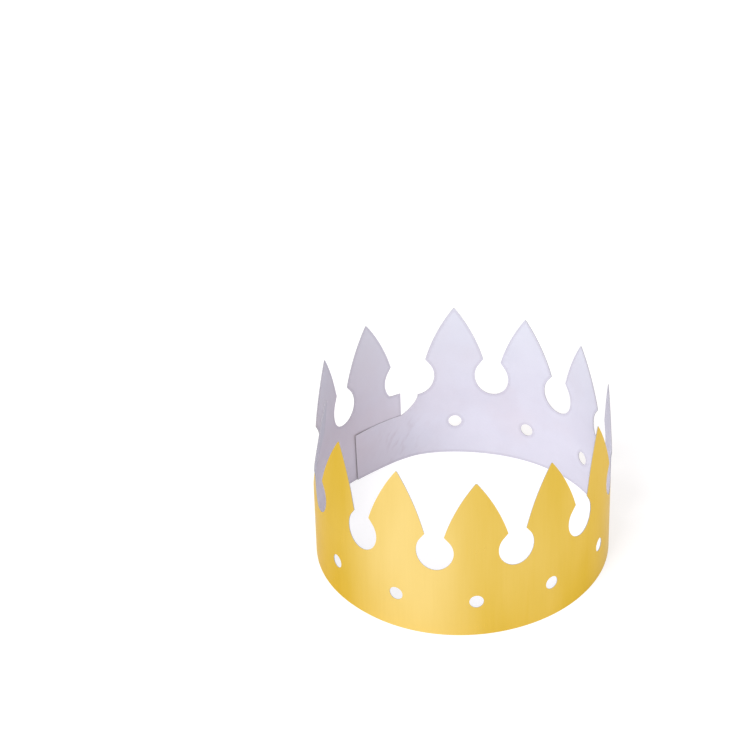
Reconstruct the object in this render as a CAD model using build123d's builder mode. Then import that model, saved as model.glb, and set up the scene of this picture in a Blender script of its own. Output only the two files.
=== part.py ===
from build123d import *
from math import asin, cos, degrees, pi, radians, sin, sqrt
import os

# Card crown: one die-cut strip with spear-shaped points, rolled into an oval ring, lapped and glued at the back.
# Frame: millimetres, +Z up, origin on the table at the middle of the ring, front of the crown towards -Y.
# The strip runs counterclockwise seen from above, from its square end round to its tab.

# Strip, measured on the foil face
spear_count = 12
pitch = 48.0              # from one spear's point to the next
card_thickness = 0.4
band_height = 46.0        # bottom edge to the floor of the notches

# Round notch between two spears
notch_width = 22.2
notch_height = 25.0       # of the whole oval that the notch is part of
notch_mouth_share = 0.79  # of that height, where the barbs begin

# Spearhead
neck_width = 11.6         # gap between the barbs of neighbouring spears
barb_drop = 4.4           # height of a barb's sloping underside
head_height = 36.5        # barb to point
side_bow = 2.3            # how far each side swells out beyond a straight line
tip_width = 0.9           # blunt end of the point

# Punched hole under each spear
hole_diameter = 8.4
hole_height = 23.9        # bottom edge to the hole's centre

# Lap at the back
seam_gap = 12.0           # from the middle of the last notch to the square end
scoop_depth = 12.8        # from the floor of the notches down to the tab's top edge
lap_length = 37.4         # how far the tab runs behind the square end
tab_corner = 1.0          # rounded top corner of the tab

# Ring
oval_stretch = 15.0       # how much longer the ring is than wide
seam_from_front = 321.9   # along the foil, from the ring's front to the square end

# Worked out from the sizes above
girth = spear_count * pitch + seam_gap
radius_spread = oval_stretch / (2 * sqrt(2) - 2)
end_radius = (girth / pi - radius_spread) / 2
side_radius = end_radius + radius_spread
centre_shift = radius_spread / sqrt(2)
mouth_height = band_height + notch_height * notch_mouth_share
barb_height = mouth_height + barb_drop
crown_height = barb_height + head_height
tab_height = band_height - scoop_depth
tab_end = seam_from_front + lap_length
last_notch = seam_from_front - seam_gap
cutter_reach = pitch / 2  # how far each cutter stands out on both sides of the wall, and above it

# The ring's four tangent quarter arcs, counterclockwise from the front one: centre x and y, and radius
ring_arcs = [
    (0, -centre_shift, end_radius),
    (-centre_shift, 0, side_radius),
    (0, centre_shift, end_radius),
    (centre_shift, 0, side_radius),
]
arc_angles = [-135, -45, 45, 135]  # degrees, where each of them starts


def wall_plane(arc_length):
    """Plane that touches the foil face at an arc length from the front: x along the strip, y up, z outwards."""
    rest = (arc_length + end_radius * pi / 4) % girth
    for (centre_x, centre_y, radius), start_angle in zip(ring_arcs, arc_angles):
        arc_span = radius * pi / 2
        if rest <= arc_span:
            break
        rest -= arc_span
    angle = radians(start_angle) + rest / radius
    outward = Vector(cos(angle), sin(angle), 0)
    foot = Vector(centre_x, centre_y, 0) + outward * radius
    return Plane(foot, x_dir=(-sin(angle), cos(angle), 0), z_dir=outward)


def plan_point(arc_length, inset):
    """Point of the plan at an arc length, set in from the foil face."""
    plane = wall_plane(arc_length)
    return plane.origin - plane.z_dir * inset


def along_plane(plane, arc_length):
    """Where a point of the foil face falls on a wall plane's x axis."""
    return plane.to_local_coords(plan_point(arc_length, 0)).X


def ring_disc(inset, mode=Mode.ADD):
    """The whole oval inside the ring, set in from the foil face, in the sketch that is open."""
    with BuildLine() as outline:
        for (centre_x, centre_y, radius), start_angle in zip(ring_arcs, arc_angles):
            CenterArc((centre_x, centre_y), radius - inset, start_angle, 90)
    make_face(outline.edges(), mode=mode)


def wall_patch(first, last, mode):
    """Four-sided patch of the plan that takes in the wall between two arc lengths, in the open sketch."""
    with BuildLine() as outline:
        Polyline(
            plan_point(first, cutter_reach),
            plan_point(last, cutter_reach),
            plan_point(last, -cutter_reach),
            plan_point(first, -cutter_reach),
            close=True,
        )
    make_face(outline.edges(), mode=mode)


def notch_opening(plane, middle):
    """All that is cut away between two spears, from the notch's floor up past the points, in the open sketch."""
    mouth_angle = degrees(asin(2 * notch_mouth_share - 1))
    clear_height = crown_height + cutter_reach
    with BuildLine() as outline:
        notch = EllipticalCenterArc(
            (0, band_height + notch_height / 2),
            notch_width / 2,
            notch_height / 2,
            start_angle=180 - mouth_angle,
            arc_size=180 + 2 * mouth_angle,
        )
        tips = []
        for side, mouth in ((-1, notch @ 0), (1, notch @ 1)):
            barb = (side * neck_width / 2, barb_height)
            tip_x = along_plane(plane, middle + side * (pitch - tip_width) / 2)
            tips.append(tip_x)
            Line(mouth, barb)
            SagittaArc(barb, (tip_x, crown_height), side * side_bow)
            Line((tip_x, crown_height), (tip_x, clear_height))
        Line((tips[0], clear_height), (tips[1], clear_height))
    make_face(outline.edges())


with BuildPart() as crown_band:
    # Wall of the ring, open at the seam
    with BuildSketch():
        ring_disc(0)
        ring_disc(card_thickness, Mode.SUBTRACT)
        wall_patch(last_notch, seam_from_front, Mode.SUBTRACT)
    extrude(amount=crown_height)

    # Openings between the spears: each end of the strip keeps half of one
    for index in range(spear_count + 1):
        middle = seam_from_front + index * pitch
        notch_plane = wall_plane(middle)
        with BuildSketch(notch_plane):
            notch_opening(notch_plane, middle)
        extrude(amount=cutter_reach, both=True, mode=Mode.SUBTRACT)

    # Punched hole under each point
    for index in range(spear_count):
        with BuildSketch(wall_plane(seam_from_front + (index + 1 / 2) * pitch)):
            with Locations((0, hole_height)):
                Circle(hole_diameter / 2)
        extrude(amount=cutter_reach, both=True, mode=Mode.SUBTRACT)

    # Step of the card from the outer layer to the inner one, across the seam's gap
    with BuildSketch():
        with BuildLine():
            directions = (wall_plane(last_notch).x_dir, wall_plane(seam_from_front).x_dir)
            foil_ends = (plan_point(last_notch, 0), plan_point(seam_from_front, card_thickness))
            inner_ends = (
                plan_point(last_notch, card_thickness),
                plan_point(seam_from_front, 2 * card_thickness),
            )
            Spline(*foil_ends, tangents=directions)
            Spline(*inner_ends, tangents=directions)
            Line(foil_ends[0], inner_ends[0])
            Line(foil_ends[1], inner_ends[1])
        make_face()
    extrude(amount=band_height)

    # Scoop that brings the step's top edge down to the tab
    seam_plane = wall_plane(seam_from_front)
    with BuildSketch(seam_plane):
        scoop_start = along_plane(seam_plane, last_notch)
        with BuildLine():
            scoop = EllipticalCenterArc(
                (0, band_height), -scoop_start, scoop_depth, start_angle=180, arc_size=90
            )
            Polyline(scoop @ 0, (scoop_start, crown_height), (0, crown_height), scoop @ 1)
        make_face()
    extrude(amount=cutter_reach, both=True, mode=Mode.SUBTRACT)

    # Tab, glued flat against the inside of the square end
    with BuildSketch():
        ring_disc(card_thickness)
        ring_disc(2 * card_thickness, Mode.SUBTRACT)
        wall_patch(seam_from_front, tab_end, Mode.INTERSECT)
    extrude(amount=tab_height)
    corner_point = plan_point(tab_end, card_thickness + card_thickness / 2) + Vector(0, 0, tab_height)
    fillet(crown_band.edges().sort_by_distance(corner_point)[0], radius=tab_corner)

crown_band.part.label = "crown_band"

os.makedirs("parts", exist_ok=True)
export_step(crown_band.part, "parts/crown_band.step")
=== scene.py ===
"""Paper crown: one die-cut strip of white card with gold foil on its outer face, rolled into an oval ring of
spear-shaped points. A scooped tab at the strip's far end is lapped behind its square end at the back.

Metres, +Z up, the ring's middle on the floor at the origin, the crown's front towards -Y, as in the
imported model. Run is length along the foil, counterclockwise seen from above.
"""
from math import asin, cos, pi, radians, sin, sqrt

import bpy
import numpy as np
from mathutils import Matrix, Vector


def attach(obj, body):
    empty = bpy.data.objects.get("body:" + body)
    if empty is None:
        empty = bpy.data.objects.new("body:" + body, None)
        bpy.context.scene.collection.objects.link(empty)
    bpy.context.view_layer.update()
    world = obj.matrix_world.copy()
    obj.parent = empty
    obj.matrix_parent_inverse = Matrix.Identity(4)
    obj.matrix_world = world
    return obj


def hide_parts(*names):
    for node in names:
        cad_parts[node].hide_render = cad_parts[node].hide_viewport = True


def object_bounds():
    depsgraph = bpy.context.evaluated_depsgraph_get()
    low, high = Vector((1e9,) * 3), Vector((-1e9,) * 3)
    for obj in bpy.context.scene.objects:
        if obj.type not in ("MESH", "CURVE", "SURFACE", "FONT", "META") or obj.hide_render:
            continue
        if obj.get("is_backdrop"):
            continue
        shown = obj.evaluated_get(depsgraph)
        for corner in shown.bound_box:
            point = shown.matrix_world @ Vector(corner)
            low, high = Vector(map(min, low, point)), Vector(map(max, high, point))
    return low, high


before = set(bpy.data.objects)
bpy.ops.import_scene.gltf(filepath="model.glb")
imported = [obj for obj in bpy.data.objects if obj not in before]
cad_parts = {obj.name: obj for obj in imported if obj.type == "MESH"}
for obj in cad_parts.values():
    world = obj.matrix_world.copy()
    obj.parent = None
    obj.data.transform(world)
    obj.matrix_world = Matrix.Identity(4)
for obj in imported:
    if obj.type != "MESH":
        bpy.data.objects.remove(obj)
cad_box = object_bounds()

MM = 0.001
MICROMETRE = 0.001 * MM

# Strip, measured on the foil face
SPEAR_COUNT = 12
PITCH = 48.0 * MM
CARD = 0.4 * MM
BAND_HEIGHT = 46.0 * MM

# Round notch between two spears
NOTCH_WIDTH = 22.2 * MM
NOTCH_HEIGHT = 25.0 * MM
NOTCH_MOUTH_SHARE = 0.79

# Spearhead
NECK_WIDTH = 11.6 * MM
BARB_DROP = 4.4 * MM
HEAD_HEIGHT = 36.5 * MM
SIDE_BOW = 1.8 * MM
TIP_WIDTH = 0.9 * MM

# Punched hole under each spear, in a panel whose top edge is below the notches
HOLE_RADIUS = 4.2 * MM
HOLE_HEIGHT = 23.9 * MM
PANEL_HEIGHT = 40.0 * MM

# Lap at the back
SEAM_GAP = 12.0 * MM
SCOOP_DEPTH = 12.8 * MM
SCOOP_ROUND = 0.62         # share of a quarter oval in its curve
END_FLOOR = 49.3 * MM      # level floor of the half notch at the square end
LAP_LENGTH = 38.6 * MM
LAP_SLACK = 0.06 * MM      # air between the two layers
TAB_LIFT = 0.4 * MM        # how far the tab's free end stands off
TAB_LIFT_RUN = 22.0 * MM   # length over which it lifts

# Ring
OVAL_STRETCH = 15.0 * MM
SEAM_FROM_FRONT = 321.9 * MM

# How the ring has settled: a few waves round it, each with its number, cosine and sine, and a flat at the
# lap, where the card is double
RING_SWELL = [
    (1, 0, -0.9 * MM),
    (2, -0.3 * MM, -0.3 * MM),
    (3, 0, -0.9 * MM),
    (4, -0.3 * MM, 0.5 * MM),
    (5, 0.3 * MM, -0.3 * MM),
]
LAP_FLAT = 4.2 * MM
LAP_FLAT_MIDDLE = 21.0 * MM
LAP_FLAT_RUN = 17.0 * MM

# How the spears have settled, from the square end round to the tab: free of the band they straighten,
# each point leans out or, below zero, in, and the one at the crown's left is turned as well
HEAD_STRAIGHT_SHARE = 0.66
STRAIGHTEN_RISE = 30.0 * MM
SPEAR_LEAN = np.array([-1, -1, -9.5, -4, -3.5, 1.5, -1.5, -2.5, -2, -3, -3, 1.5]) * MM
LEAN_POWER = 1.1
LEFT_SPEAR = 2
SPEAR_TWIST = np.zeros(SPEAR_COUNT)
SPEAR_TWIST[LEFT_SPEAR] = 0.21

# Divisions of the grids
ACROSS = 28
UP_PANEL = 20
HOLE_ROWS = 8
UP_BORDER = 3
UP_NOTCH = 22
UP_BARB = 4
UP_HEAD = 22
ALONG_SCOOP = 14
ALONG_TAB = 24
DISTANCE_LOTS = 40

# Worked out from the sizes above
GIRTH = SPEAR_COUNT * PITCH + SEAM_GAP
RADIUS_SPREAD = OVAL_STRETCH / (2 * sqrt(2) - 2)
END_RADIUS = (GIRTH / pi - RADIUS_SPREAD) / 2
SIDE_RADIUS = END_RADIUS + RADIUS_SPREAD
CENTRE_SHIFT = RADIUS_SPREAD / sqrt(2)
STRIP_LENGTH = SPEAR_COUNT * PITCH
MOUTH_HEIGHT = BAND_HEIGHT + NOTCH_HEIGHT * NOTCH_MOUTH_SHARE
BARB_HEIGHT = MOUTH_HEIGHT + BARB_DROP
CROWN_HEIGHT = BARB_HEIGHT + HEAD_HEIGHT
TAB_HEIGHT = BAND_HEIGHT - SCOOP_DEPTH

# Foil's deep and pale tones, its tint at a glancing angle and its roughness
FOIL_DEEP = (0.65, 0.435, 0.043)
FOIL_PALE = (0.83, 0.625, 0.215)
FOIL_GLANCE = (0.91, 0.81, 0.56)
FOIL_ROUGHNESS = (0.28, 0.36)
FOIL_SMUDGE_ROUGHNESS = (-0.02, 0.03)
FOIL_GRAIN_DEPTH = 0.02 * MM

# How much the foil pales: a painted highlight round one place on the ring, painted shade that deepens it
# towards the foot, soft drifts that are partly random tone and partly painted highlight and shade, and
# fine streaks
FOIL_PAINTED_HIGHLIGHT_SHARE = 0.54
FOIL_PAINTED_HIGHLIGHT_RUN = 226.0 * MM
FOIL_PAINTED_HIGHLIGHT_SHARPNESS = 12.0
FOIL_FOOT_SHADE_RISE_SHARES = (0.12, 0.28)
FOIL_FOOT_SHADE_RISE = 42.0 * MM
FOIL_DRIFT_AND_PAINTED_LIGHT_SHARES = (-0.3, 0.3)
FOIL_STREAK_SHARES = (-0.03, 0.03)

# Foil's patterns
# The drift's layer sets where its pale and deep patches fall, as painted highlight and shade
FOIL_DRIFT_AND_PAINTED_LIGHT = dict(scale=14.0, detail=3.0, stretch=(1, 0.25, 1), layer=2.25)
FOIL_STREAK = dict(scale=60.0, detail=4.0, stretch=(8, 0.4, 1))
FOIL_GRAIN = dict(scale=60.0, detail=6.0, stretch=(30, 1, 1), roughness=0.6)
FOIL_SMUDGE = dict(scale=40.0, detail=3.0)

# Card's cool tones, and the share of its fibre and its clouds in going from one to the other
CARD_COOL = ((0.595, 0.587, 0.668), (0.633, 0.624, 0.702))
CARD_FIBRE_SHARES = (-0.25, 0.25)
CARD_CLOUD_SHARES = (0, 1)
CARD_ROUGHNESS = (0.55, 0.7)
CARD_GLOSS = 0.3
CARD_FIBRE_DEPTH = 0.03 * MM

# Card's mauve tone, part its own tint and part painted shade, in blotches round one place near the lap
CARD_MAUVE_AND_SHADE = (0.59, 0.54, 0.593)
CARD_MAUVE_AND_SHADE_RUN = 57.0 * MM
CARD_MAUVE_AND_SHADE_SHARPNESS = 5.0
CARD_BLOTCH_SHARES = (-0.4, 0.4)

# Card's paler tone towards the points, a painted light
CARD_PAINTED_HEAD_LIGHT = (0.66, 0.69, 0.755)
CARD_PAINTED_HEAD_LIGHT_SHARE = 0.6

# Card's painted shade, in grey: softly over a rise at its foot, in a narrow rim along its cut edges and at
# the ring's two sides
CARD_PAINTED_SHADE = (0.4, 0.38, 0.44)
CARD_FOOT_SHADE_SHARE = 0.28
CARD_FOOT_SHADE_RISE = 26.0 * MM
CARD_RIM_SHADE_SHARE = 0.26
CARD_RIM_SHADE_FULL = 1.1 * MM
CARD_RIM_SHADE_END = 2.3 * MM
CARD_SIDE_SHADE_SHARE = 0.42
CARD_SIDE_SHADE_RUN = 117.0 * MM
CARD_SIDE_SHADE_SHARPNESS = 10.0

# Faint slanting scuffs where the lap was pressed together, fading towards the tab's top edge
CARD_SCUFF_TONE = (0.5, 0.44, 0.5)
CARD_SCUFF_SHARE = 0.5
CARD_SCUFF_RUN = 4.0 * MM
CARD_SCUFF_SHARPNESS = 60.0
CARD_SCUFF_RISE = 24.0 * MM
CARD_SCUFF_BAND = (0.5, 0.7)

# Card's patterns
CARD_FIBRE = dict(scale=900.0, detail=6.0, stretch=(0.6, 1, 1))
CARD_CLOUD = dict(scale=35.0, detail=3.0)
CARD_BLOTCH = dict(scale=22.0, detail=3.0, layer=1.0)
CARD_SCUFF = dict(scale=300.0, detail=2.0, stretch=(1, 0.3, 1), slant=radians(-35))

# Cut edge, its greyness a painted shade
EDGE_PAINTED_SHADE_TONES = ((0.3, 0.295, 0.32), (0.4, 0.395, 0.42))
EDGE_ROUGHNESS = (0.7, 0.85)
EDGE_FIBRE = dict(scale=1500.0, detail=5.0)
EDGE_FIBRE_DEPTH = 0.05 * MM

# Floor, with a glow of its own that keeps it white
FLOOR_SIDE = 6.0
FLOOR_COLOUR = (0.4, 0.4, 0.4, 1)
FLOOR_ROUGHNESS = 0.9
FLOOR_GLOSS = 0.1
FLOOR_GLOW_COLOUR = (1, 1, 1, 1)
FLOOR_GLOW = 0.68

# Surround and key light
SURROUND_COLOUR = (1, 0.95, 1, 1)
SURROUND_STRENGTH = 0.75
KEY_PLACE = (-2.0, -2.5, 3.0)
KEY_AIM = (0, 0, 0.05)
KEY_SIZE = 2.0
KEY_POWER = 140.0

# Camera, as the photograph was taken: turn and height of the view, roll, distance, focal length in
# pixels, and where the ring's middle on the floor falls in the frame
FRAME_SIDE = 750
VIEW_TURN = radians(-4.156)
VIEW_HEIGHT = radians(31.676)
VIEW_ROLL = radians(-1.757)
VIEW_DISTANCE = 1444.5 * MM
FOCAL_PIXELS = 2345.3
RING_PIXEL = (462.49, 537.25)
SENSOR = 36.0
CLIP_START = 0.01


def ring(run):
    """Foot on the foil face and outward direction, at a run along the foil from the ring's front: four
    tangent quarter arcs, the front and back ones round the shorter radius, the side ones round the
    longer. Each foot then moves out by cosines and sines of a few waves round the ring, and slips along
    by their sum so far, so that lengths along the card stay true."""
    radii = np.array([END_RADIUS, SIDE_RADIUS, END_RADIUS, SIDE_RADIUS])
    centres = np.array([(0, -1), (-1, 0), (0, 1), (1, 0)]) * CENTRE_SHIFT
    ends = np.cumsum(radii * pi / 2)
    turn = 2 * pi * run / GIRTH
    swell = np.zeros_like(run)
    slip = np.zeros_like(run)
    for waves, cosine, sine in RING_SWELL:
        swell += cosine * np.cos(waves * turn) + sine * np.sin(waves * turn)
        slip += (sine * np.cos(waves * turn) - cosine * np.sin(waves * turn)) / waves
    rest = (run + slip + END_RADIUS * pi / 4) % GIRTH
    arc = np.minimum(np.searchsorted(ends, rest), len(radii) - 1)
    start = ends - radii * pi / 2
    angle = -3 * pi / 4 + arc * pi / 2 + (rest - start[arc]) / radii[arc]
    outward = np.stack([np.cos(angle), np.sin(angle)], axis=-1)
    return centres[arc] + outward * (radii[arc] + swell)[:, None], outward


def ease(share):
    """Smooth step: three times the square less twice the cube, held level outside 0 to 1."""
    share = np.clip(share, 0, 1)
    return share * share * (3 - 2 * share)


def border_heights():
    """Heights of the rows where two spears' stretches of card meet, from the bottom edge to the notch's
    floor."""
    panel = np.linspace(0, PANEL_HEIGHT, UP_PANEL + 1)
    return np.append(panel, np.linspace(PANEL_HEIGHT, BAND_HEIGHT, UP_BORDER + 1)[1:])


def spear_edge(floor):
    """Edge of a spear above the hole's panel, as rows of half width and height: straight up at half a
    pitch to the notch's floor, level to the notch's oval and round it to its mouth, out along the barb's
    underside, then a shallow arc to the point."""
    straight = np.linspace(PANEL_HEIGHT, floor, UP_BORDER + 1)
    straight = np.stack([np.full_like(straight, PITCH / 2), straight], axis=-1)
    turn = np.linspace(-pi / 2, asin(2 * NOTCH_MOUTH_SHARE - 1), UP_NOTCH + 1)[1:]
    oval = BAND_HEIGHT + NOTCH_HEIGHT / 2 * (1 + np.sin(turn))
    notch = np.stack([PITCH / 2 - NOTCH_WIDTH / 2 * np.cos(turn), np.maximum(oval, floor)], axis=-1)
    barb = np.array([(PITCH - NECK_WIDTH) / 2, BARB_HEIGHT])
    under = notch[-1] + np.linspace(0, 1, UP_BARB + 1)[1:, None] * (barb - notch[-1])
    point = np.array([TIP_WIDTH / 2, CROWN_HEIGHT])
    chord = np.linalg.norm(point - barb)
    along = (point - barb) / chord
    out = np.array([along[1], -along[0]])
    half_turn = 2 * np.arctan(2 * SIDE_BOW / chord)
    radius = chord / (2 * sin(half_turn))
    sweep = np.linspace(-half_turn, half_turn, UP_HEAD + 1)[1:, None]
    bow = out * radius * (np.cos(sweep) - cos(half_turn))
    head = (barb + point) / 2 + along * radius * np.sin(sweep) + bow
    return np.concatenate([straight, notch, under, head])


def spear_grid(left_floor):
    """Card of one spear above the hole's panel: each row runs from edge to edge, evenly divided. Down the
    middle the rows are spaced as the edge's own length is, and each row eases to the edge by the square
    of its share."""
    left, right = spear_edge(left_floor), spear_edge(BAND_HEIGHT)
    length = np.append(0, np.cumsum(np.linalg.norm(np.diff(right, axis=0), axis=1)))
    middle = PANEL_HEIGHT + (CROWN_HEIGHT - PANEL_HEIGHT) * length / length[-1]
    share = np.linspace(-1, 1, ACROSS + 1)
    wide, high = np.where(share < 0, left.T[:, :, None], right.T[:, :, None])
    return np.stack([wide * share, middle[:, None] + (high - middle[:, None]) * share ** 2], axis=-1)


def hole_grid():
    """Card round one punched hole: rays from the hole's centre, each divided evenly from the hole's rim
    to the side of the panel that it meets. Rows go from the outside in, columns once round."""
    wide = np.linspace(-PITCH / 2, PITCH / 2, ACROSS + 1)
    high = np.linspace(0, PANEL_HEIGHT, UP_PANEL + 1)
    level = np.zeros_like(wide)
    upright = np.full_like(high, PITCH / 2)
    sides = np.concatenate([
        np.stack([wide, level], axis=-1),
        np.stack([upright, high], axis=-1)[1:],
        np.stack([-wide, level + PANEL_HEIGHT], axis=-1)[1:],
        np.stack([-upright, high[::-1]], axis=-1)[1:],
    ])
    centre = np.array([0, HOLE_HEIGHT])
    ray = sides - centre
    rim = centre + HOLE_RADIUS * ray / np.linalg.norm(ray, axis=1, keepdims=True)
    share = np.linspace(0, 1, HOLE_ROWS + 1)[:, None, None]
    return sides + share * (rim - sides)


def tab_grid():
    """Card past the last notch: columns follow the scoop down, part quarter oval and part straight cut,
    then run evenly along the tab, and each column is divided as the strip's border is."""
    turn = np.linspace(0, pi / 2, ALONG_SCOOP + 1)
    tab_run = np.linspace(0, LAP_LENGTH, ALONG_TAB + 1)[1:]
    run = STRIP_LENGTH + np.append(SEAM_GAP * (1 - np.cos(turn)), SEAM_GAP + tab_run)
    scoop = SCOOP_ROUND * np.sin(turn) + (1 - SCOOP_ROUND) * (1 - np.cos(turn))
    top = np.append(BAND_HEIGHT - SCOOP_DEPTH * scoop, np.full(ALONG_TAB, TAB_HEIGHT))
    share = border_heights() / BAND_HEIGHT
    return np.stack(np.broadcast_arrays(run, share[:, None] * top), axis=-1)


def quads(rows, columns):
    """Corner numbers of a grid's cells, anticlockwise where columns run right and rows run up."""
    first = (np.arange(rows - 1)[:, None] * columns + np.arange(columns - 1)).ravel()
    return np.stack([first, first + 1, first + columns + 1, first + columns], axis=-1)


def flat_strip():
    """The whole strip laid flat, as points of run and height and four-cornered cells. The grids of every
    spear are set a pitch apart, and points that fall together to a micrometre are made one."""
    axes = PITCH * (np.arange(SPEAR_COUNT) + 0.5)
    shift = np.stack([axes, np.zeros(SPEAR_COUNT)], axis=-1)[:, None, None, :]
    first_spear = spear_grid(END_FLOOR) + shift[0]
    spears = [first_spear, *(spear_grid(BAND_HEIGHT) + shift[1:])]
    points, cells, count = [], [], 0
    for grid in [*spears, *(hole_grid() + shift), tab_grid()]:
        points.append(grid.reshape(-1, 2))
        cells.append(count + quads(*grid.shape[:2]))
        count += len(points[-1])
    points = np.concatenate(points)
    places = np.round(points / MICROMETRE)
    first, number = np.unique(places, axis=0, return_index=True, return_inverse=True)[1:]
    return points[first], number.reshape(-1)[np.concatenate(cells)]


def stand_off(run, height):
    """How far the foil lies outside the ring, along its outward direction. A spear leans by a power of
    its share of the height above the notches, and straightens and twists with the distance from its axis.
    The lap's flat is a bell curve along the run that fades towards the points. Past the last notch the
    card eases in behind the square end, and lifts further in over the tab's last stretch."""
    spear = np.clip((run / PITCH).astype(int), 0, SPEAR_COUNT - 1)
    aside = run - PITCH * (spear + 0.5)
    share = np.clip((height - BAND_HEIGHT) / (CROWN_HEIGHT - BAND_HEIGHT), 0, 1)
    lean = SPEAR_LEAN[spear] * share ** LEAN_POWER
    rise = ease((height - BAND_HEIGHT) / STRAIGHTEN_RISE)
    straight = rise * (HEAD_STRAIGHT_SHARE * pi / GIRTH * aside ** 2 + SPEAR_TWIST[spear] * aside)
    from_middle = (run + GIRTH / 2 - LAP_FLAT_MIDDLE) % GIRTH - GIRTH / 2
    flat = LAP_FLAT * (1 - height / CROWN_HEIGHT) * np.exp(-((from_middle / LAP_FLAT_RUN) ** 2) / 2)
    tuck = (CARD + LAP_SLACK) * ease((run - STRIP_LENGTH) / SEAM_GAP)
    tab_end = STRIP_LENGTH + SEAM_GAP + LAP_LENGTH
    lift = TAB_LIFT * ease((run - tab_end) / TAB_LIFT_RUN + 1)
    return lean + straight - flat - tuck - lift


def edge_number(edges, count):
    """One number for each edge of a strip with so many points, whichever way round its two ends are
    given."""
    return edges.min(axis=1) * count + edges.max(axis=1)


def cut_edges(cells, count):
    """The edges that belong to one cell only, each from its start to its end as it goes round that
    cell."""
    edges = np.stack([cells, np.roll(cells, -1, axis=1)], axis=-1).reshape(-1, 2)
    number, uses = np.unique(edge_number(edges, count), return_inverse=True, return_counts=True)[1:]
    return edges[uses[number.reshape(-1)] == 1]


def cut_distance(flat, cut):
    """Distance of each point of the flat strip from the nearest of the points on its cut edges, apart
    from the tab's top and end. The strip is taken in lots, to save memory."""
    run, height = flat[cut].T
    cut = cut[(run <= STRIP_LENGTH) | (height == 0)]
    lots = np.array_split(flat, DISTANCE_LOTS)
    return np.concatenate([np.linalg.norm(lot[:, None] - flat[cut], axis=-1).min(axis=1) for lot in lots])


def crown_mesh():
    """The strip wrapped round the ring and given its thickness: the foil face, the same face set in by
    the card, and a rim cell on every cut edge. Foil, card and rim take the first, second and third
    finish. A map lays the strip flat, each point knows its distance from the cut edges, and those edges
    are sharp."""
    flat, cells = flat_strip()
    count = len(flat)
    run, height = flat.T
    foot, outward = ring(SEAM_FROM_FRONT + run)
    foil = foot + outward * stand_off(run, height)[:, None]
    inside = foil - outward * CARD
    points = np.concatenate([np.column_stack([foil, height]), np.column_stack([inside, height])])
    cut = cut_edges(cells, count)
    start, end = cut.T
    rim = np.stack([end, start, start + count, end + count], axis=-1)
    faces = np.concatenate([cells, cells[:, ::-1] + count, rim])

    mesh = bpy.data.meshes.new("crown_card")
    mesh.from_pydata(points.tolist(), [], faces.tolist())
    finish = np.repeat([0, 1, 2], [len(cells), len(cells), len(rim)])
    mesh.polygons.foreach_set("material_index", finish.astype(np.int32))
    mesh.polygons.foreach_set("use_smooth", np.ones(len(faces), dtype=bool))

    corners = np.empty(len(mesh.loops), dtype=np.int32)
    mesh.loops.foreach_get("vertex_index", corners)
    laid_flat = mesh.uv_layers.new(name="laid_flat")
    laid_flat.uv.foreach_set("vector", flat[corners % count].astype(np.float32).ravel())

    distance = np.tile(cut_distance(flat, start), 2).astype(np.float32)
    mesh.attributes.new("cut_distance", "FLOAT", "POINT").data.foreach_set("value", distance)

    ends = np.empty(2 * len(mesh.edges), dtype=np.int32)
    mesh.edges.foreach_get("vertices", ends)
    ends = ends.reshape(-1, 2)
    same_face = (ends[:, 0] < count) == (ends[:, 1] < count)
    sharp = same_face & np.isin(edge_number(ends % count, count), edge_number(cut, count))
    mesh.attributes.new("sharp_edge", "BOOLEAN", "EDGE").data.foreach_set("value", sharp)
    mesh.validate()
    mesh.update()
    return mesh


def new_finish(name):
    """An empty node finish, with its tree and its shader."""
    finish = bpy.data.materials.new(name)
    finish.use_nodes = True
    tree = finish.node_tree
    return finish, tree, tree.nodes["Principled BSDF"]


def speckle(tree, scale, detail=4.0, stretch=(1, 1, 1), roughness=0.55, layer=0.0, slant=0.0):
    """Noise on the strip laid flat, scale to the metre, turned by a slant, then each direction multiplied
    by its own share. The layer picks one of many patterns."""
    where = tree.nodes.new("ShaderNodeUVMap")
    where.uv_map = "laid_flat"
    turned = tree.nodes.new("ShaderNodeMapping")
    turned.inputs["Rotation"].default_value = (0, 0, slant)
    mapping = tree.nodes.new("ShaderNodeMapping")
    mapping.inputs["Scale"].default_value = stretch
    mapping.inputs["Location"].default_value = (0, 0, layer)
    noise = tree.nodes.new("ShaderNodeTexNoise")
    noise.inputs["Scale"].default_value = scale
    noise.inputs["Detail"].default_value = detail
    noise.inputs["Roughness"].default_value = roughness
    tree.links.new(where.outputs["UV"], turned.inputs["Vector"])
    tree.links.new(turned.outputs["Vector"], mapping.inputs["Vector"])
    tree.links.new(mapping.outputs["Vector"], noise.inputs["Vector"])
    return noise.outputs["Fac"]


def spread(tree, value, low, high, start=0.3, end=0.7):
    """A value carried in a straight line from start and end to low and high, and held level outside
    them."""
    node = tree.nodes.new("ShaderNodeMapRange")
    node.inputs["From Min"].default_value = start
    node.inputs["From Max"].default_value = end
    node.inputs["To Min"].default_value = low
    node.inputs["To Max"].default_value = high
    tree.links.new(value, node.inputs["Value"])
    return node.outputs["Result"]


def blend(tree, share, *colours):
    """Two colours, each fixed or worked out, mixed by a share."""
    node = tree.nodes.new("ShaderNodeMix")
    node.data_type = "RGBA"
    sockets = [socket for socket in node.inputs if socket.type == "RGBA"]
    for socket, colour in zip(sockets, colours):
        if isinstance(colour, tuple):
            socket.default_value = (*colour, 1)
        else:
            tree.links.new(colour, socket)
    tree.links.new(share, node.inputs[0])
    return [socket for socket in node.outputs if socket.type == "RGBA"][0]


def work_out(tree, operation, value, number):
    """A value and a fixed number put through one operation."""
    node = tree.nodes.new("ShaderNodeMath")
    node.operation = operation
    node.inputs[1].default_value = number
    tree.links.new(value, node.inputs[0])
    return node.outputs[0]


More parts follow.
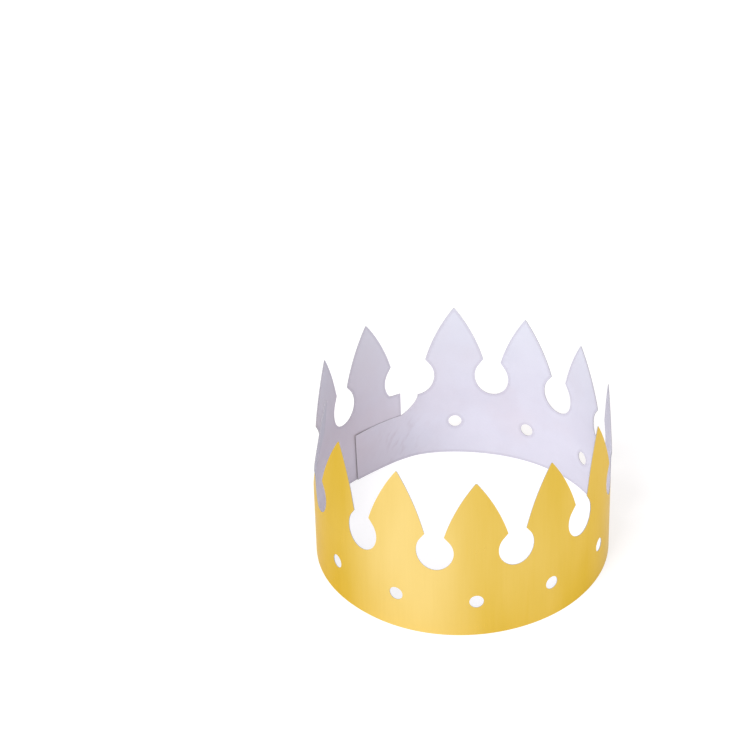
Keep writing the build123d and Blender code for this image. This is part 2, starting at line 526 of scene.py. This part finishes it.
def combine(tree, operation, first, second):
    """Two values put through one operation."""
    node = tree.nodes.new("ShaderNodeMath")
    node.operation = operation
    tree.links.new(first, node.inputs[0])
    tree.links.new(second, node.inputs[1])
    return node.outputs[0]


def raise_surface(tree, shader, height, distance):
    """Bump a shader's surface by a height from 0 to 1 times a distance."""
    bump = tree.nodes.new("ShaderNodeBump")
    bump.inputs["Strength"].default_value = 1.0
    bump.inputs["Distance"].default_value = distance
    tree.links.new(height, bump.inputs["Height"])
    tree.links.new(bump.outputs["Normal"], shader.inputs["Normal"])


def strip_place(tree, axis):
    """Run (X) or height (Y) on the strip laid flat."""
    where = tree.nodes.new("ShaderNodeUVMap")
    where.uv_map = "laid_flat"
    split = tree.nodes.new("ShaderNodeSeparateXYZ")
    tree.links.new(where.outputs["UV"], split.inputs["Vector"])
    return split.outputs[axis]


def round_bell(tree, run, sharpness, waves=1):
    """Bell curve round the ring: e to the power of a sharpness times one less than the cosine of the turn
    from a run, so that the two layers of the lap have the same value. With two waves it peaks on the far
    side as well."""
    value = strip_place(tree, "X")
    steps = [
        ("SUBTRACT", run),
        ("MULTIPLY", waves * 2 * pi / GIRTH),
        ("COSINE", 0),
        ("SUBTRACT", 1),
        ("MULTIPLY", sharpness),
        ("EXPONENT", 0),
    ]
    for operation, number in steps:
        value = work_out(tree, operation, value, number)
    return value


def gold_foil():
    """Satin gold foil: palest at one place on the ring, where a highlight is painted, deeper at the band's
    foot as painted shade, and drifting softly in upright streaks, the drifts partly painted highlight and
    shade. A fine upright grain sets roughness and bump, with a few smudges in the roughness."""
    finish, tree, shader = new_finish("gold_foil")
    # Painted highlight: the foil pales in a bell round one place on the ring
    place = round_bell(tree, FOIL_PAINTED_HIGHLIGHT_RUN, FOIL_PAINTED_HIGHLIGHT_SHARPNESS)
    tone = spread(tree, place, 0, FOIL_PAINTED_HIGHLIGHT_SHARE, 0, 1)
    # Painted shade: the foil is deeper towards the band's foot, where it reflects the darker floor
    rise = spread(tree, strip_place(tree, "Y"), *FOIL_FOOT_SHADE_RISE_SHARES, 0, FOIL_FOOT_SHADE_RISE)
    # Soft drifts: random tone, with its pale and deep patches set to fall as painted highlight and shade
    drift = spread(tree, speckle(tree, **FOIL_DRIFT_AND_PAINTED_LIGHT), *FOIL_DRIFT_AND_PAINTED_LIGHT_SHARES)
    streak = spread(tree, speckle(tree, **FOIL_STREAK), *FOIL_STREAK_SHARES)
    for paler in (rise, drift, streak):
        tone = combine(tree, "ADD", tone, paler)
    tree.links.new(blend(tree, tone, FOIL_DEEP, FOIL_PALE), shader.inputs["Base Color"])
    grain = speckle(tree, **FOIL_GRAIN)
    smudge = spread(tree, speckle(tree, **FOIL_SMUDGE), *FOIL_SMUDGE_ROUGHNESS)
    roughness = combine(tree, "ADD", spread(tree, grain, *FOIL_ROUGHNESS), smudge)
    tree.links.new(roughness, shader.inputs["Roughness"])
    shader.inputs["Metallic"].default_value = 1.0
    shader.inputs["Specular Tint"].default_value = (*FOIL_GLANCE, 1)
    raise_surface(tree, shader, grain, FOIL_GRAIN_DEPTH)
    return finish


def card_painted_shade(tree, height):
    """Share of painted shade in the card: a straight fall from its foot over a rise, a rim that is full near
    a cut edge and then falls away, and a bell at each side of the ring."""
    # Painted shade, darkest at the card's foot and fading over a rise
    foot = spread(tree, height, CARD_FOOT_SHADE_SHARE, 0, 0, CARD_FOOT_SHADE_RISE)
    # Painted shade in a narrow rim along the cut edges, where the die rounds the card down
    from_cut = tree.nodes.new("ShaderNodeAttribute")
    from_cut.attribute_name = "cut_distance"
    rim = spread(tree, from_cut.outputs["Fac"], CARD_RIM_SHADE_SHARE, 0, CARD_RIM_SHADE_FULL, CARD_RIM_SHADE_END)
    # Painted shade at the ring's two sides
    side = round_bell(tree, CARD_SIDE_SHADE_RUN, CARD_SIDE_SHADE_SHARPNESS, waves=2)
    side = spread(tree, side, 0, CARD_SIDE_SHADE_SHARE, 0, 1)
    return combine(tree, "ADD", combine(tree, "ADD", foot, rim), side)


def card_scuffs(tree, height):
    """Share of the scuffs in the card: the higher part of a slanting noise, times a bell round the lap,
    times a straight fall to the tab's top edge."""
    scuff = spread(tree, speckle(tree, **CARD_SCUFF), 0, 1, *CARD_SCUFF_BAND)
    lap = round_bell(tree, CARD_SCUFF_RUN, CARD_SCUFF_SHARPNESS)
    below = spread(tree, height, CARD_SCUFF_SHARE, 0, CARD_SCUFF_RISE, TAB_HEIGHT)
    return combine(tree, "MULTIPLY", scuff, combine(tree, "MULTIPLY", lap, below))


def white_card():
    """Uncoated white card with fibre flecks and a soft cloudiness, blotched round the lap with a mauve that
    is part its own tint and part painted shade, paler towards the points as painted light, scuffed at the
    lap, and greyer at its foot, its cut edges and the ring's sides as painted shade. The fibre sets
    roughness and a fine toothed bump."""
    finish, tree, shader = new_finish("white_card")
    height = strip_place(tree, "Y")
    fibre = speckle(tree, **CARD_FIBRE)
    cloud = spread(tree, speckle(tree, **CARD_CLOUD), *CARD_CLOUD_SHARES)
    tone = combine(tree, "ADD", spread(tree, fibre, *CARD_FIBRE_SHARES), cloud)
    blotch = spread(tree, speckle(tree, **CARD_BLOTCH), *CARD_BLOTCH_SHARES)
    # Mauve round the lap: part the card's own tint, part painted shade that darkens it there
    mauve = combine(tree, "ADD", round_bell(tree, CARD_MAUVE_AND_SHADE_RUN, CARD_MAUVE_AND_SHADE_SHARPNESS), blotch)
    # Painted light: the card paler towards the points
    painted_light_towards_point = spread(tree, height, 0, CARD_PAINTED_HEAD_LIGHT_SHARE, BAND_HEIGHT, CROWN_HEIGHT)
    colour = blend(tree, mauve, blend(tree, tone, *CARD_COOL), CARD_MAUVE_AND_SHADE)
    colour = blend(tree, painted_light_towards_point, colour, CARD_PAINTED_HEAD_LIGHT)
    colour = blend(tree, card_scuffs(tree, height), colour, CARD_SCUFF_TONE)
    colour = blend(tree, card_painted_shade(tree, height), colour, CARD_PAINTED_SHADE)
    tree.links.new(colour, shader.inputs["Base Color"])
    tree.links.new(spread(tree, fibre, *CARD_ROUGHNESS), shader.inputs["Roughness"])
    shader.inputs["Specular IOR Level"].default_value = CARD_GLOSS
    raise_surface(tree, shader, fibre, CARD_FIBRE_DEPTH)
    return finish


def cut_edge():
    """Die-cut edge of the card: bare fibre, made greyer than the face as painted shade."""
    finish, tree, shader = new_finish("cut_edge")
    fibre = speckle(tree, **EDGE_FIBRE)
    # Greyer tones than the face, as painted shade
    tree.links.new(blend(tree, spread(tree, fibre, 0, 1), *EDGE_PAINTED_SHADE_TONES), shader.inputs["Base Color"])
    tree.links.new(spread(tree, fibre, *EDGE_ROUGHNESS), shader.inputs["Roughness"])
    raise_surface(tree, shader, fibre, EDGE_FIBRE_DEPTH)
    return finish


def pale_floor():
    """Wide plain floor under the crown: a flat square, kept white by a glow of its own."""
    mesh = bpy.data.meshes.new("floor")
    corner = FLOOR_SIDE / 2 * np.array([(-1, -1, 0), (1, -1, 0), (1, 1, 0), (-1, 1, 0)])
    mesh.from_pydata(corner.tolist(), [], [(0, 1, 2, 3)])
    floor = bpy.data.objects.new("floor", mesh)
    bpy.context.scene.collection.objects.link(floor)
    finish = bpy.data.materials.new("floor_paper")
    finish.use_nodes = True
    shader = finish.node_tree.nodes["Principled BSDF"]
    shader.inputs["Base Color"].default_value = FLOOR_COLOUR
    shader.inputs["Roughness"].default_value = FLOOR_ROUGHNESS
    shader.inputs["Specular IOR Level"].default_value = FLOOR_GLOSS
    shader.inputs["Emission Color"].default_value = FLOOR_GLOW_COLOUR
    shader.inputs["Emission Strength"].default_value = FLOOR_GLOW
    mesh.materials.append(finish)
    floor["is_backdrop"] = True


def soft_light(name, place, aim, size, power):
    """Square soft light at a place, facing an aim."""
    lamp = bpy.data.lights.new(name, "AREA")
    lamp.size = size
    lamp.energy = power
    light = bpy.data.objects.new(name, lamp)
    bpy.context.scene.collection.objects.link(light)
    back = np.array(place, dtype=float) - np.array(aim)
    back /= np.linalg.norm(back)
    right = np.cross((0, 0, 1), back)
    right /= np.linalg.norm(right)
    turn = np.eye(4)
    turn[:3, :3] = np.stack([right, np.cross(back, right), back], axis=-1)
    turn[:3, 3] = place
    light.matrix_world = Matrix(turn.tolist())


def studio():
    """Even pale surround and one large soft light high on the left in front."""
    world = bpy.data.worlds.new("studio")
    bpy.context.scene.world = world
    world.use_nodes = True
    surround = world.node_tree.nodes["Background"]
    surround.inputs["Color"].default_value = SURROUND_COLOUR
    surround.inputs["Strength"].default_value = SURROUND_STRENGTH
    soft_light("key_light", KEY_PLACE, KEY_AIM, KEY_SIZE, KEY_POWER)
    bpy.context.scene.view_settings.view_transform = "Standard"


def photo_camera():
    """Camera whose axes come from the view's turn, height and roll, moved so that the ring's middle falls
    on its pixel: the sideways moves are that pixel's offset from the frame's middle, scaled by distance
    over focal length."""
    forward = np.array([0, cos(VIEW_HEIGHT), -sin(VIEW_HEIGHT)])
    level = np.array([1, 0, 0])
    upright = np.array([0, sin(VIEW_HEIGHT), cos(VIEW_HEIGHT)])
    right = cos(VIEW_ROLL) * level + sin(VIEW_ROLL) * upright
    up = cos(VIEW_ROLL) * upright - sin(VIEW_ROLL) * level
    scale = VIEW_DISTANCE / FOCAL_PIXELS
    aside, below = (pixel - FRAME_SIDE / 2 for pixel in RING_PIXEL)
    place = scale * (below * up - aside * right) - VIEW_DISTANCE * forward
    turn = np.array([
        (cos(VIEW_TURN), -sin(VIEW_TURN), 0),
        (sin(VIEW_TURN), cos(VIEW_TURN), 0),
        (0, 0, 1),
    ])
    matrix = np.eye(4)
    matrix[:3] = turn @ np.column_stack([right, up, -forward, place])
    lens = bpy.data.cameras.new("photo_camera")
    lens.sensor_width = SENSOR
    lens.lens = FOCAL_PIXELS * SENSOR / FRAME_SIDE
    lens.clip_start = CLIP_START
    camera = bpy.data.objects.new("photo_camera", lens)
    camera.matrix_world = Matrix(matrix.tolist())
    bpy.context.scene.collection.objects.link(camera)
    bpy.context.scene.camera = camera


def crown():
    """The crown's card in its three finishes, riding on the part's one body in place of the plain
    solid."""
    mesh = crown_mesh()
    mesh.materials.append(gold_foil())
    mesh.materials.append(white_card())
    mesh.materials.append(cut_edge())
    card = bpy.data.objects.new("crown_card", mesh)
    bpy.context.scene.collection.objects.link(card)
    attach(card, "root")
    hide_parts("crown_band")


crown()
pale_floor()
studio()
photo_camera()

boxes = {"cad": cad_box, "visual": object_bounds()}
boxes = {name: [[float(number) for number in corner] for corner in box] for name, box in boxes.items()}
